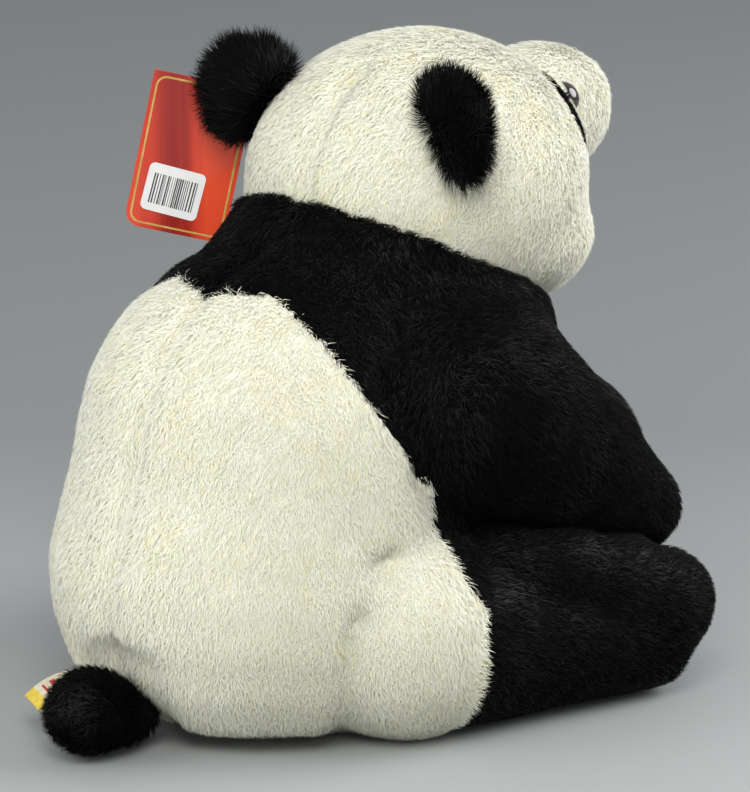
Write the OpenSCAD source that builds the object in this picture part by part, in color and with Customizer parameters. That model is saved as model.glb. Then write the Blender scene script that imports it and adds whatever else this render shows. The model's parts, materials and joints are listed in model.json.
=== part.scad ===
// Sitting plush panda: sewn fabric panels over stuffed cores, with ball-shaped limb roots.
// +Z up, the face looks along -Y, and the origin is on the ground under the seat.

/* [Torso] */
// Half-width of the seat
seat_rx = 93; // [80:1:104]
// Half-depth of the seat
seat_ry = 92; // [80:1:102]
// Half-height of the seat
seat_rz = 86; // [76:1:96]
// Height of the seat's centre
seat_z = 62; // [54:1:70]
// Half-width of the upper body
chest_rx = 90; // [80:1:98]
// Half-depth of the upper body
chest_ry = 87; // [78:1:96]
// Half-height of the upper body
chest_rz = 85; // [76:1:94]
// Radius of the flat base panel
base_r = 54; // [44:1:58]

/* [Head] */
// Half-width of the head
head_rx = 80; // [68:1:84]
// Half-depth of the head without the muzzle
head_ry = 74; // [64:1:77]
// Half-height of the head
head_rz = 67; // [58:1:76]
// Height of the head's centre
head_z = 222; // [214:1:240]
// Distance of the head's centre in front of the seat's centre
head_forward = 90; // [84:1:98]
// Angle by which the face is raised
head_pitch = 22; // [10:1:30]
// Lean of the neck from the vertical
neck_lean = 15; // [10:1:20]
// Half-width of the muzzle
muzzle_rx = 32; // [26:1:38]
// Half-length of the muzzle
muzzle_ry = 40; // [33:1:48]
// Half-height of the muzzle
muzzle_rz = 28; // [23:1:33]

/* [Ears] */
// Half-width of an ear
ear_r = 26; // [20:1:31]
// Height of an ear from its middle
ear_h = 34; // [26:1:38]
// Half-thickness of an ear
ear_t = 7; // [5:0.5:8]

/* [Arms] */
// Radius of the ball at the shoulder
arm_root_r = 46; // [40:1:47]
// Radius of the sleeve halfway
arm_mid_r = 38; // [30:1:40]
// Radius of the paw
paw_r = 23; // [19:1:27]
// Distance from the shoulder to the paw's centre
arm_len = 104; // [86:1:124]
// Angle by which the arms slope down
arm_slope = 25; // [18:1:26]

/* [Legs] */
// Radius of the ball at the hip
leg_root_r = 44; // [38:1:46]
// Radius of the leg halfway
leg_mid_r = 34; // [28:1:36]
// Radius of the foot
foot_r = 29; // [24:1:32]
// Distance from the hip to the sole's edge
leg_len = 114; // [95:1:137]
// Bulge of the sole
sole_bulge = 13; // [8:1:18]

/* [Tail] */
// Radius of the ball at the tail's root
tail_root_r = 15; // [12:0.5:17]
// Radius of the tail
tail_r = 20; // [16:1:22]
// Distance from the tail's root to its widest place
tail_len = 24; // [18:1:30]

/* [Fabric] */
// Thickness of the sewn fabric
wall = 2; // [1:0.25:3]
// Clearance between a limb's ball and the body
joint_gap = 3; // [2:0.25:4]

/* [Trim] */
// Radius of an eye
eye_r = 7; // [5:0.5:9]
// Radius of the nose
nose_r = 11; // [8:0.5:13]
// Width of the hang tag
tag_w = 46; // [34:1:52]
// Length of the hang tag
tag_l = 72; // [56:1:74]
// Width of the sewn label
label_w = 22; // [16:1:26]
// Length of the sewn label
label_l = 25; // [20:1:32]
// Radius of a filling pellet
pellet_r = 3.4; // [2.4:0.2:3.6]

/* [Hidden] */

FAR = 1000;
ivory = "#f3eee0";
black = "#19181b";
fill = "#dcd9d0";
seam_gap = 0.4;      // between a fabric panel and the filling behind it
loose_fill = 5;      // depth of the loose filling behind the face, where the eye washers lie
blend_power = 14;    // how sharply the torso's eggs meet
columns = 48;        // grid columns round the torso and the head
yoke_rows = 9;
side_rows = 11;
base_rows = 3;
head_rows = 16;
limb_sides = 20;

// ---------- vectors ----------
function unit(v) = v / norm(v);
function mix(a, b, t) = a + (b - a) * t;
function ease(t) = let (c = max(0, min(1, t))) c * c * (3 - 2 * c);
function pitched(v, a) = [v[0], v[1] * cos(a) - v[2] * sin(a), v[1] * sin(a) + v[2] * cos(a)];
// Direction at an azimuth from the back (+Y, towards +X) and a polar angle from the top
function dir(az, polar) = [sin(az) * sin(polar), cos(az) * sin(polar), cos(polar)];

// ---------- eggs: [centre, radii, three unit axes] ----------
level = [[1, 0, 0], [0, 1, 0], [0, 0, 1]];
function egg(centre, radii, axes = level) = [centre, radii, axes];
function ball(centre, r) = egg(centre, [r, r, r]);
function in_egg(e, v) = [for (i = [0:2]) (e[2][i] * v) / e[1][i]];
function grown(e, by) = [e[0], e[1] + [by, by, by], e[2]];
function crossings(e, o, d) =
    let (p = in_egg(e, o - e[0]), v = in_egg(e, d), a = v * v, b = p * v, q = b * b - a * (p * p - 1))
    q < 0 ? [FAR, 0] : [(-b - sqrt(q)) / a, (-b + sqrt(q)) / a];
// Distance along a ray to where it leaves an egg, and to where it enters one
function leave(e, o, d) = max(0, crossings(e, o, d)[1]);
function enter(e, o, d) = let (t = crossings(e, o, d)[0]) t > 0 ? t : FAR;
// Distance along a ray to where it enters a channel that runs from p along the axis a
function enter_channel(p, a, r, o, d) =
    let (w = o - p, dp = d - (d * a) * a, wp = w - (w * a) * a, A = dp * dp, B = wp * dp,
         q = B * B - A * (wp * wp - r * r), t = q < 0 ? FAR : (-B - sqrt(q)) / A)
    q < 0 || t <= 0 || (w + t * d) * a < 0 ? FAR : t;

// ---------- closed solids from rings of points ----------
module ringed_solid(rings, first, last) {
    n = len(rings[0]);
    m = len(rings);
    points = concat([first], [for (ring = rings) each ring], [last]);
    function at(i, j) = 1 + i * n + (j % n);
    polyhedron(points, concat(
        [for (j = [0:n - 1]) [0, at(0, j), at(0, j + 1)]],
        [for (i = [0:m - 2], j = [0:n - 1]) each [
            [at(i, j), at(i + 1, j), at(i + 1, j + 1)],
            [at(i, j), at(i + 1, j + 1), at(i, j + 1)]]],
        [for (j = [0:n - 1]) [1 + m * n, at(m - 1, j + 1), at(m - 1, j)]]), convexity = 8);
}

// A sheet of fabric between two grids of points, outer and inner
module sheet_solid(outer, inner) {
    m = len(outer);
    n = len(outer[0]);
    points = concat([for (row = outer) each row], [for (row = inner) each row]);
    function at(side, i, j) = side * m * n + i * n + j;
    function quad(a, b, c, d) = [[a, b, c], [a, c, d]];
    polyhedron(points, concat(
        [for (i = [0:m - 2], j = [0:n - 2]) each
            quad(at(0, i, j), at(0, i + 1, j), at(0, i + 1, j + 1), at(0, i, j + 1))],
        [for (i = [0:m - 2], j = [0:n - 2]) each
            quad(at(1, i, j), at(1, i, j + 1), at(1, i + 1, j + 1), at(1, i + 1, j))],
        [for (i = [0:m - 2]) each quad(at(0, i, 0), at(1, i, 0), at(1, i + 1, 0), at(0, i + 1, 0))],
        [for (i = [0:m - 2]) each
            quad(at(0, i + 1, n - 1), at(1, i + 1, n - 1), at(1, i, n - 1), at(0, i, n - 1))],
        [for (j = [0:n - 2]) each quad(at(0, 0, j + 1), at(1, 0, j + 1), at(1, 0, j), at(0, 0, j))],
        [for (j = [0:n - 2]) each
            quad(at(0, m - 1, j), at(1, m - 1, j), at(1, m - 1, j + 1), at(0, m - 1, j + 1))]),
        convexity = 8);
}

// ---------- places ----------
head_c = [0, -head_forward, head_z];
head_axes = [for (v = level) pitched(v, -head_pitch)];
head_egg = egg(head_c, [head_rx, head_ry, head_rz], head_axes);
socket_r = max(head_rx - 2, head_ry + 4);
neck_axis = pitched([0, 0, 1], neck_lean);
neck_r = 15;
neck_gap = 5;        // clearance between the neck's ball and the torso
neck_c = head_c - (socket_r + neck_r + neck_gap) * neck_axis;
function face_dir(az, el) = pitched([sin(az) * cos(el), -cos(az) * cos(el), sin(el)], -head_pitch);

// A shoulder moves out and up as its ball grows, clear of the head and the thigh
shoulder_rise = 93;
shoulder_room = 2.3;
shoulder_in = 105.8;
shoulder = [head_rx + shoulder_room * arm_root_r - shoulder_in, -52, shoulder_rise + arm_root_r];
arm_spread = 4;
hip = [74, -26, leg_root_r];
leg_spread = 14;
tail_c = [0, 84, tail_root_r + 1];
tail_gap = 7;        // clearance for the tail's wide end, which wags
function spread_dir(angle, slope) = [sin(angle) * cos(slope), -cos(angle) * cos(slope), -sin(slope)];
function mirrored(p, side) = [side * p[0], p[1], p[2]];

// ---------- torso ----------
torso_c = [0, -10, 90];
base_t = 2.7;
floor_gap = 0.3;
pouch_r = 40;
pouch_h = 14;
seat_egg = egg([0, 6, seat_z], [seat_rx, seat_ry, seat_rz]);
chest_egg = egg([0, -6, 120], [chest_rx, chest_ry, chest_rz]);
neck_egg = egg([0, -50, 170], [58, 58, 78]);
collar_egg = egg([0, -60, 165], [90, 72, 58]);

function soft_max(values) = pow([for (v = values) pow(v / 100, blend_power)] * [for (v = values) 1],
                                1 / blend_power) * 100;
function torso_body(d) =
    soft_max([for (e = [seat_egg, chest_egg, neck_egg, collar_egg]) leave(e, torso_c, d)]);
function torso_cuts(d) = min([
    enter(ball(head_c, socket_r), torso_c, d),
    enter(ball(neck_c, neck_r + neck_gap), torso_c, d),
    enter(ball(tail_c, tail_root_r + joint_gap), torso_c, d),
    enter(ball(tail_c + [0, tail_len, 0], tail_r + tail_gap), torso_c, d),
    for (side = [-1, 1]) each [
        enter(ball(mirrored(shoulder, side), arm_root_r + joint_gap), torso_c, d),
        enter_channel(mirrored(shoulder, side), mirrored(spread_dir(arm_spread, arm_slope), side),
                      arm_root_r + joint_gap, torso_c, d),
        enter(ball(mirrored(hip, side), leg_root_r + joint_gap), torso_c, d),
        enter_channel(mirrored(hip, side), mirrored(spread_dir(leg_spread, 0), side),
                      leg_root_r + joint_gap, torso_c, d)]]);
function floor_reach(d) = d[2] < 0 ? (torso_c[2] - base_t - floor_gap) / -d[2] : FAR;
// Polar angle of the seam under the dark yoke, and of the base's rim
function from_back(az) = min(az, 360 - az);
function yoke_polar(az) = 20 + 62 * ease((from_back(az) - 40) / 65);
function rim_polar(az) =
    let (p = [base_r * sin(az), base_r * cos(az), base_t + floor_gap] - torso_c)
    90 + atan(-p[2] / norm([p[0], p[1]]));
first_polar = 1.5;
function torso_polar(az, row) =
    row <= yoke_rows ? mix(first_polar, yoke_polar(az), row / yoke_rows)
    : row <= yoke_rows + side_rows ? mix(yoke_polar(az), rim_polar(az), (row - yoke_rows) / side_rows)
    : mix(rim_polar(az), 180, (row - yoke_rows - side_rows) / base_rows);
function torso_dir(row, column) = let (az = 360 * column / columns) dir(az, torso_polar(az, row));
// The facets span half a cell to each side, so they keep clear of what is there too
spans = [[0, 0], [0.5, 0], [-0.5, 0], [0, 0.5], [0, -0.5]];
function torso_reach(row, column) = let (d = torso_dir(row, column))
    min([torso_body(d), floor_reach(d), for (s = spans) torso_cuts(torso_dir(row + s[0], column + s[1]))]);
function torso_point(row, column, inset) =
    torso_c + torso_dir(row, column) * (torso_reach(row, column) - inset);
module torso_sheet(rows, cols, colour) {
    color(colour) sheet_solid(
        [for (i = rows) [for (j = cols) torso_point(i, j, 0)]],
        [for (i = rows) [for (j = cols) torso_point(i, j, wall)]]);
}
belly_from = 17;
belly_to = columns - belly_from;
side_range = [yoke_rows:yoke_rows + side_rows];
module back_panel_left() torso_sheet(side_range, [0:belly_from], ivory);
module back_panel_right() torso_sheet(side_range, [belly_to:columns], ivory);
module belly_panel() torso_sheet(side_range, [belly_from:belly_to], ivory);
module yoke_left() torso_sheet([0:yoke_rows], [0:columns / 2], black);
module yoke_right() torso_sheet([0:yoke_rows], [columns / 2:columns], black);
module base_panel() color(ivory) cylinder(h = base_t, r = base_r, $fn = 96);

pouch_space = egg([0, 0, 8], [pouch_r * 1.4, pouch_r * 1.4, pouch_h + 6]);
function stuffing_point(row, column) = let (d = torso_dir(row, column))
    torso_c + d * (min(torso_reach(row, column) - wall, enter(pouch_space, torso_c, d)) - seam_gap);
module torso_stuffing() {
    last_row = yoke_rows + side_rows + base_rows;
    color(fill) ringed_solid(
        [for (i = [0:last_row - 1]) [for (j = [0:columns - 1]) stuffing_point(i, j)]],
        stuffing_point(0, 0) + [0, 0, 0.3], stuffing_point(last_row, 0));
}

// ---------- bean pouch in the seat ----------
pouch_wall = 1;
pouch_z = base_t + floor_gap + 0.4;
module bean_pouch_bottom() {
    color(fill) translate([0, 0, pouch_z]) difference() {
        cylinder(h = pouch_h, r = pouch_r, $fn = 96);
        translate([0, 0, pouch_wall]) cylinder(h = pouch_h, r = pouch_r - pouch_wall, $fn = 96);
    }
}
module bean_pouch_top() {
    color(fill) translate([0, 0, pouch_z + pouch_h]) cylinder(h = pouch_wall, r = pouch_r, $fn = 96);
}
module bean_pellets() {
    pitch = 2 * pellet_r + 0.6;
    reach = pouch_r - pouch_wall - pellet_r - 0.5;
    rings = floor(reach / pitch);
    color("#c9c4b4") translate([0, 0, pouch_z + pouch_wall + pellet_r + 0.2]) {
        sphere(r = pellet_r, $fn = 24);
        for (k = [1:rings], i = [0:6 * k - 1])
            rotate(60 * i / k) translate([k * pitch, 0, 0]) sphere(r = pellet_r, $fn = 24);
    }
}

module neck_stuffing() color(fill) translate(neck_c) sphere(r = neck_r, $fn = 48);

// ---------- head ----------
function head_reach(d) = leave(head_egg, head_c, d);
function head_point(row, column, inset) =
    let (d = pitched(dir(360 * column / columns, mix(first_polar, 180 - first_polar, row / head_rows)),
                     -head_pitch))
    head_c + d * (head_reach(d) - inset);
face_from = 18;
face_to = columns - face_from;
module head_sheet(cols) {
    color(ivory) sheet_solid(
        [for (i = [0:head_rows]) [for (j = cols) head_point(i, j, 0)]],
        [for (i = [0:head_rows]) [for (j = cols) head_point(i, j, wall)]]);
}
module head_side_left() head_sheet([0:face_from]);
module head_side_right() head_sheet([face_to:columns]);
module face_panel() head_sheet([face_from:face_to]);
module head_stuffing() {
    inset = wall + loose_fill;
    color(fill) ringed_solid(
        [for (i = [0:head_rows]) [for (j = [0:columns - 1]) head_point(i, j, inset)]],
        head_c + pitched([0, 0, head_rz - inset], -head_pitch),
        head_c - pitched([0, 0, head_rz - inset], -head_pitch));
}

muzzle_drop = 13;
muzzle_out = head_ry + 2;
muzzle_egg = egg(head_c + pitched([0, -muzzle_out, -muzzle_drop], -head_pitch),
                 [muzzle_rx, muzzle_ry, muzzle_rz], head_axes);
muzzle_c = head_c + pitched([0, -muzzle_out - 16, -muzzle_drop], -head_pitch);
function muzzle_point(d) =
    muzzle_c + d * min(leave(muzzle_egg, muzzle_c, d), enter(grown(head_egg, seam_gap), muzzle_c, d));
module muzzle() {
    rows = 14;
    sides = 28;
    color(ivory) ringed_solid(
        [for (i = [1:rows - 1]) [for (j = [0:sides - 1])
            muzzle_point(pitched(dir(360 * j / sides, 180 * i / rows), -head_pitch))]],
        muzzle_point(pitched([0, 0, 1], -head_pitch)), muzzle_point(pitched([0, 0, -1], -head_pitch)));
}

// ---------- eyes, nose and mouth ----------
eye_az = 32;
eye_el = 10;
patch_t = 1.6;
patch_a = 17;        // half-angles of a patch, long and short
patch_b = 12.5;
patch_droop = 40;
function patch_dir(side, ring, turn) =
    let (a = patch_a * ring * cos(turn), b = patch_b * ring * sin(turn),
         along = a * cos(patch_droop) - b * sin(patch_droop),
         up = -a * sin(patch_droop) - b * cos(patch_droop))
    face_dir(side * (eye_az + 2 + along), eye_el - 1 + up);
function patch_point(side, ring, turn, lift) =
    let (d = patch_dir(side, ring, turn)) head_c + d * (head_reach(d) + lift);
function patch_ring(side, ring, sides, lift) =
    [for (j = [0:sides - 1]) patch_point(side, ring, -side * 360 * j / sides, lift)];
module eye_patch(side) {
    rings = 4;
    sides = 24;
    low = seam_gap;
    high = seam_gap + patch_t;
    color(black) ringed_solid(
        concat([for (k = [1:rings]) patch_ring(side, k / rings, sides, high)],
               [for (k = [rings:-1:1]) patch_ring(side, k / rings, sides, low)]),
        patch_point(side, 0, 0, high), patch_point(side, 0, 0, low));
}
// Stands a part on the head at a direction, with +Z outwards
module on_face(side, lift) {
    d = face_dir(side * eye_az, eye_el);
    translate(head_c + d * (head_reach(d) + lift))
        rotate([0, acos(d[2]), atan2(d[1], d[0])]) children();
}
module dome(r, h) {
    curve = (r * r + h * h) / (2 * h);
    translate([0, 0, h - curve]) rotate_extrude($fn = 64) intersection() {
        circle(r = curve, $fn = 96);
        translate([0, curve - h]) square([r, h]);
    }
}
shank_r = 1.6;
shank_l = 7.4;
eye_lift = seam_gap + patch_t + 0.2;
module eye(side) {
    color("#120d0b") on_face(side, eye_lift) {
        dome(eye_r, eye_r * 0.62);
        translate([0, 0, -shank_l]) cylinder(h = shank_l + 1, r = shank_r, $fn = 32);
    }
}
washer_r = 6.5;
washer_t = 1.2;
washer_gap = 1.6;     // from the flat washer to the curved fabric at its middle
module eye_washer(side) {
    color("white") on_face(side, -wall - washer_gap - washer_t) difference() {
        cylinder(h = washer_t, r = washer_r, $fn = 48);
        translate([0, 0, -1]) cylinder(h = washer_t + 2, r = shank_r + 0.15, $fn = 32);
    }
}
// A spot on the muzzle at an angle above its middle: [point, angle of the surface above the horizontal]
function muzzle_spot(tilt) =
    let (d = pitched([0, -cos(tilt), sin(tilt)], -head_pitch),
         p = muzzle_c + d * leave(muzzle_egg, muzzle_c, d),
         q = in_egg(muzzle_egg, p - muzzle_egg[0]))
    [p, atan2(q[2] / muzzle_rz, -q[1] / muzzle_ry) + head_pitch];
module on_muzzle(tilt) {
    spot = muzzle_spot(tilt);
    translate(spot[0]) rotate([90 - spot[1], 0, 0]) children();
}
nose_tilt = -4;
module nose() {
    color("#141214") on_muzzle(nose_tilt) {
        translate([0, 0, -2.5]) dome(nose_r, nose_r * 0.75);
        translate([0, 0, -9]) cylinder(h = 8, r = 2, $fn = 32);
    }
}
mouth_tilt = -46;
stitch_r = 0.9;
stitch_l = 5;
smile_r = 8;
module mouth_stitch() {
    color(black) on_muzzle(mouth_tilt) {
        translate([0, 0, -0.3]) rotate([-90, 0, 0]) cylinder(h = stitch_l, r = stitch_r, $fn = 24);
        for (side = [-1, 1]) translate([side * smile_r, 0, -0.9])
            rotate(side > 0 ? 180 : 270) rotate_extrude(angle = 90, $fn = 64)
                translate([smile_r, 0]) circle(r = stitch_r, $fn = 24);
    }
}

// ---------- ears ----------
ear_lean = 26;       // how far an ear's middle line rises from the horizontal
ear_sweep = 13;      // how far it turns back
ear_root = [head_rx - 31, head_ry - 36, head_rz - 37];
ear_seat = 6;        // from the root to the middle of an ear
function swept(v, side) = [v[0] * cos(ear_sweep) - side * v[1] * sin(ear_sweep),
                           side * v[0] * sin(ear_sweep) + v[1] * cos(ear_sweep), v[2]];
function ear_axes(side) = [swept([side * sin(ear_lean), 0, -cos(ear_lean)], side),
                           swept([side * cos(ear_lean), 0, sin(ear_lean)], side), swept([0, 1, 0], side)];
function ear_egg(side) = let (x = ear_axes(side))
    egg(head_c + mirrored(ear_root, side) + ear_seat * x[1], [ear_r, ear_h, ear_t], x);
function ear_mid(side) = ear_egg(side)[0] + 8 * ear_axes(side)[1];
function ear_point(side, turn, tilt) =
    let (e = ear_egg(side), o = ear_mid(side),
         local = [cos(turn) * sin(tilt) * e[1][0], sin(turn) * sin(tilt) * e[1][1], cos(tilt) * e[1][2]],
         d = unit(local * e[2]))
    o + d * min(leave(e, o, d), enter(grown(head_egg, joint_gap), o, d));
module ear_half(side, face) {
    rows = 5;
    sides = 28;
    spin = side * face;
    color(black) ringed_solid(
        [for (i = [1:rows]) let (tilt = 90 * i / rows) [for (j = [0:sides - 1])
            ear_point(side, spin * 360 * j / sides, face > 0 ? tilt : 180 - tilt)]],
        ear_point(side, 0, face > 0 ? 0 : 180), ear_mid(side));
}

// ---------- limbs: along -Y from a ball at the origin ----------
ball_steps = 6;
mid_steps = 5;
cap_steps = 4;
first_turn = 2;      // angle of a ball's smallest ring
function limb_radius(root, mid, tip, t) =
    t < 0.5 ? mix(root, mid, ease(2 * t)) : mix(mid, tip, ease(2 * t - 1));
// Each station is [distance, radius, rise of the ring's centre]; with level at 1 the underside is straight
function limb_stations(root, mid, tip, length, cap, level) = concat(
    [for (b = concat([first_turn], [for (k = [1:ball_steps]) 90 * k / ball_steps]))
        [-root * cos(b), root * sin(b), 0]],
    [for (k = [1:mid_steps]) let (t = k / mid_steps, r = limb_radius(root, mid, tip, t))
        [length * t, r, level * (r - root)]],
    [for (k = [1:cap_steps]) let (b = 88 * k / cap_steps)
        [length + cap * sin(b), tip * cos(b), level * (tip - root)]]);
function limb_ring(s, from = 0, to = 360, steps = limb_sides) =
    [for (j = [0:steps - (to - from == 360 ? 1 : 0)]) let (w = mix(from, to, j / steps))
        [s[1] * cos(w), -s[0], s[2] + s[1] * sin(w)]];
function stations(l) = limb_stations(l[0], l[1], l[2], l[3], l[4], l[5]);
function inset_limb(l, inset) =
    limb_stations(l[0] - inset, l[1] - inset, l[2] - inset, l[3], l[4] - inset, l[5]);
function limb_pole(l, inset, end) =
    end ? [0, -l[3] - l[4] + inset, l[5] * (l[2] - l[0])] : [0, l[0] - inset, 0];
module limb_core(l, inset) {
    ringed_solid([for (s = inset_limb(l, inset)) limb_ring(s)],
                 limb_pole(l, inset, false), limb_pole(l, inset, true));
}
module limb_sheet(l, from, to, first = 0, last = ball_steps + mid_steps + cap_steps) {
    outer = stations(l);
    inner = inset_limb(l, wall);
    steps = round(limb_sides * (to - from) / 360);
    sheet_solid([for (k = [first:last]) limb_ring(outer[k], from, to, steps)],
                [for (k = [first:last]) limb_ring(inner[k], from, to, steps)]);
}

arm = [arm_root_r, arm_mid_r, paw_r, arm_len, paw_r, 0.7];
module place_arm(side) {
    translate(mirrored(shoulder, side))
        rotate([0, 0, side * arm_spread]) rotate([arm_slope, 0, 0]) children();
}
module arm_half(side, outer) {
    from = (side > 0) == outer ? -90 : 90;
    color(black) place_arm(side) limb_sheet(arm, from, from + 180);
}
module arm_stuffing(side) color(fill) place_arm(side) limb_core(arm, wall + seam_gap);

leg = [leg_root_r, leg_mid_r, foot_r, leg_len, sole_bulge, 1];
sole_step = ball_steps + mid_steps;
thigh_step = ball_steps;
module place_leg(side) translate(mirrored(hip, side)) rotate([0, 0, side * leg_spread]) children();
module thigh_panel(side) {
    outer = stations(leg);
    inner = inset_limb(leg, wall);
    color(ivory) place_leg(side) ringed_solid(
        concat([for (k = [0:thigh_step]) limb_ring(outer[k])],
               [for (k = [thigh_step:-1:0]) limb_ring(inner[k])]),
        limb_pole(leg, 0, false), limb_pole(leg, wall, false));
}
module leg_half(side, outer) {
    from = (side > 0) == outer ? -90 : 90;
    color(black) place_leg(side) limb_sheet(leg, from, from + 180, thigh_step, sole_step);
}
module foot_sole(side) {
    outer = stations(leg);
    inner = inset_limb(leg, wall);
    last = len(outer) - 1;
    color(black) place_leg(side) ringed_solid(
        concat([for (k = [last:-1:sole_step]) limb_ring(outer[k])],
               [for (k = [sole_step:last]) limb_ring(inner[k])]),
        limb_pole(leg, 0, true), limb_pole(leg, wall, true));
}
module leg_stuffing(side) color(fill) place_leg(side) limb_core(leg, wall + seam_gap);

// ---------- tail ----------
tail = [tail_root_r, (tail_root_r + tail_r) / 2 + 1, tail_r, tail_len, tail_r, 1];
module place_tail() translate(tail_c) rotate([0, 0, 180]) children();
module tail_top() color(black) place_tail() limb_sheet(tail, 0, 180);
module tail_under() color(black) place_tail() limb_sheet(tail, 180, 360);
module tail_stuffing() color(fill) place_tail() limb_core(tail, wall + seam_gap);

// ---------- hang tag and sewn label ----------
tag_tilt = 12;
tag_turn = 45;
card_t = 0.6;
card_gap = 0.5;
tag_c = [head_rx + 17, -43, head_z + 4];
hole_r = 2.2;
hole_drop = 6;
hole_side = 13;
// A strip folded in two: the fold is at the top of +Y, the leaves lie along -Y
module folded_strip(width, length, t, gap) {
    outer_r = t + gap / 2;
    translate([-width / 2, 0, 0]) rotate([0, 90, 0]) linear_extrude(width) {
        for (z = [gap / 2, -outer_r]) translate([z, -length + outer_r]) square([t, length - outer_r]);
        difference() {
            circle(r = outer_r, $fn = 32);
            circle(r = gap / 2, $fn = 32);
            translate([-2 * outer_r, -4 * outer_r]) square([4 * outer_r, 4 * outer_r]);
        }
    }
}
// The tag's own frame: +Y up along the card, +Z to its front
module place_tag() translate(tag_c) rotate([90, 0, 180 + tag_turn]) rotate([0, 0, -tag_tilt]) children();
module hang_tag() {
    color("#c3242b") place_tag() difference() {
        translate([0, tag_l / 2 - card_t - card_gap / 2, 0]) folded_strip(tag_w, tag_l, card_t, card_gap);
        translate([hole_side, tag_l / 2 - hole_drop, -5]) cylinder(h = 10, r = hole_r, $fn = 32);
    }
}
sticker_w = 26;
sticker_side = -4;   // of the sticker's middle from the card's
sticker_up = 8;      // of the sticker's edge from the card's
sticker_l = 22;
module tag_sticker() {
    color("white") place_tag()
        translate([sticker_side - sticker_w / 2, sticker_up - tag_l / 2, card_t + card_gap / 2 + 0.05])
            cube([sticker_w, sticker_l, 0.2]);
}
loop_r = 10.5;
loop_wire = 0.5;
module tag_fastener() {
    color("white") place_tag() translate([hole_side, tag_l / 2 - hole_drop + loop_r, 0])
        rotate([0, 90, 0]) rotate_extrude($fn = 64) translate([loop_r, 0]) circle(r = loop_wire, $fn = 16);
}
label_t = 0.5;
label_droop = 24;
label_side = 32;
label_height = 24;
label_out = 7.78;
label_root = [label_side, label_out + seat_ry * sqrt(1 - pow(label_side / seat_rx, 2)
                                             - pow((seat_z - label_height) / seat_rz, 2)), label_height];
label_turn = -25;
module care_label() {
    color("#efe6cf") translate(label_root) rotate([0, 0, label_turn]) rotate([-label_droop, 0, 0])
        translate([0, label_l - label_t - 0.4, 0]) folded_strip(label_w, label_l, label_t, 0.8);
}

back_panel_left();
back_panel_right();
belly_panel();
yoke_left();
yoke_right();
base_panel();
torso_stuffing();
bean_pouch_bottom();
bean_pouch_top();
bean_pellets();
neck_stuffing();
head_side_left();
head_side_right();
face_panel();
muzzle();
head_stuffing();
eye_patch(1);  // eye_patch_left
eye_patch(-1);  // eye_patch_right
eye(1);  // eye_left
eye(-1);  // eye_right
eye_washer(1);  // eye_washer_left
eye_washer(-1);  // eye_washer_right
nose();
mouth_stitch();
ear_half(1, 1);  // ear_back_left
ear_half(-1, 1);  // ear_back_right
ear_half(1, -1);  // ear_front_left
ear_half(-1, -1);  // ear_front_right
arm_half(1, true);  // arm_outer_left
arm_half(-1, true);  // arm_outer_right
arm_half(1, false);  // arm_inner_left
arm_half(-1, false);  // arm_inner_right
arm_stuffing(1);  // arm_stuffing_left
arm_stuffing(-1);  // arm_stuffing_right
thigh_panel(1);  // thigh_panel_left
thigh_panel(-1);  // thigh_panel_right
leg_half(1, true);  // leg_outer_left
leg_half(-1, true);  // leg_outer_right
leg_half(1, false);  // leg_inner_left
leg_half(-1, false);  // leg_inner_right
foot_sole(1);  // foot_sole_left
foot_sole(-1);  // foot_sole_right
leg_stuffing(1);  // leg_stuffing_left
leg_stuffing(-1);  // leg_stuffing_right
tail_top();
tail_under();
tail_stuffing();
hang_tag();
tag_sticker();
tag_fastener();
care_label();
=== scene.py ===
"""Sitting plush panda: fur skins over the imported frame, with eyes, nose, mouth, hang tag and sewn label."""
import json
import math

import bmesh
import bpy
import numpy as np
from mathutils import Matrix, Vector
from mathutils.bvhtree import BVHTree


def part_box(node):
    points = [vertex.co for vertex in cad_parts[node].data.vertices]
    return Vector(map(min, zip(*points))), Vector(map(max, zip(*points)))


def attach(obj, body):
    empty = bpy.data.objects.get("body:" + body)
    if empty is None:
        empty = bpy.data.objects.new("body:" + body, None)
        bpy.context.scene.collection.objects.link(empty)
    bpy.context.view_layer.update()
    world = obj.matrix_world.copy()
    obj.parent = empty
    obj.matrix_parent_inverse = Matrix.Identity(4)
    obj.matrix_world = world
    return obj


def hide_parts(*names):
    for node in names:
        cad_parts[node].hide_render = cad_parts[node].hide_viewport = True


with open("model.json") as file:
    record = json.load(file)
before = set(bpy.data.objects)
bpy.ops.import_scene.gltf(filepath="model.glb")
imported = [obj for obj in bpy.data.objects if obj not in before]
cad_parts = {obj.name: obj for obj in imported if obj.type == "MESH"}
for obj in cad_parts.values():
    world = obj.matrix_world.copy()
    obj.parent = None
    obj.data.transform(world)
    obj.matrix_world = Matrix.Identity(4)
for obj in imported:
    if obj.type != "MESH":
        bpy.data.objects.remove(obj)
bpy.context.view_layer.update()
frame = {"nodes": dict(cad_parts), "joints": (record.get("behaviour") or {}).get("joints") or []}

MM = 0.001
nodes = frame["nodes"]
joint_at = {j["name"]: np.array(j["pos_m"]) for j in frame["joints"]}
SIDES = {"left": 1, "right": -1}


def middle(node):
    low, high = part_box(node)
    return (np.array(low) + np.array(high)) / 2


# ---------- camera and light ----------
def look_at(obj, place, target):
    obj.location = place
    obj.rotation_euler = (Vector(target) - Vector(place)).to_track_quat("-Z", "Y").to_euler()


def make_camera(target=(-0.0116, -0.0525, 0.1325), azimuth=225, elevation=14, distance=2.0, lens=206.6):
    data = bpy.data.cameras.new("camera")
    data.lens = lens
    obj = bpy.data.objects.new("camera", data)
    bpy.context.scene.collection.objects.link(obj)
    a, e = math.radians(azimuth), math.radians(elevation)
    back = Vector((math.sin(a) * math.cos(e), -math.cos(a) * math.cos(e), math.sin(e)))
    look_at(obj, Vector(target) + distance * back, target)
    bpy.context.scene.camera = obj


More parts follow.
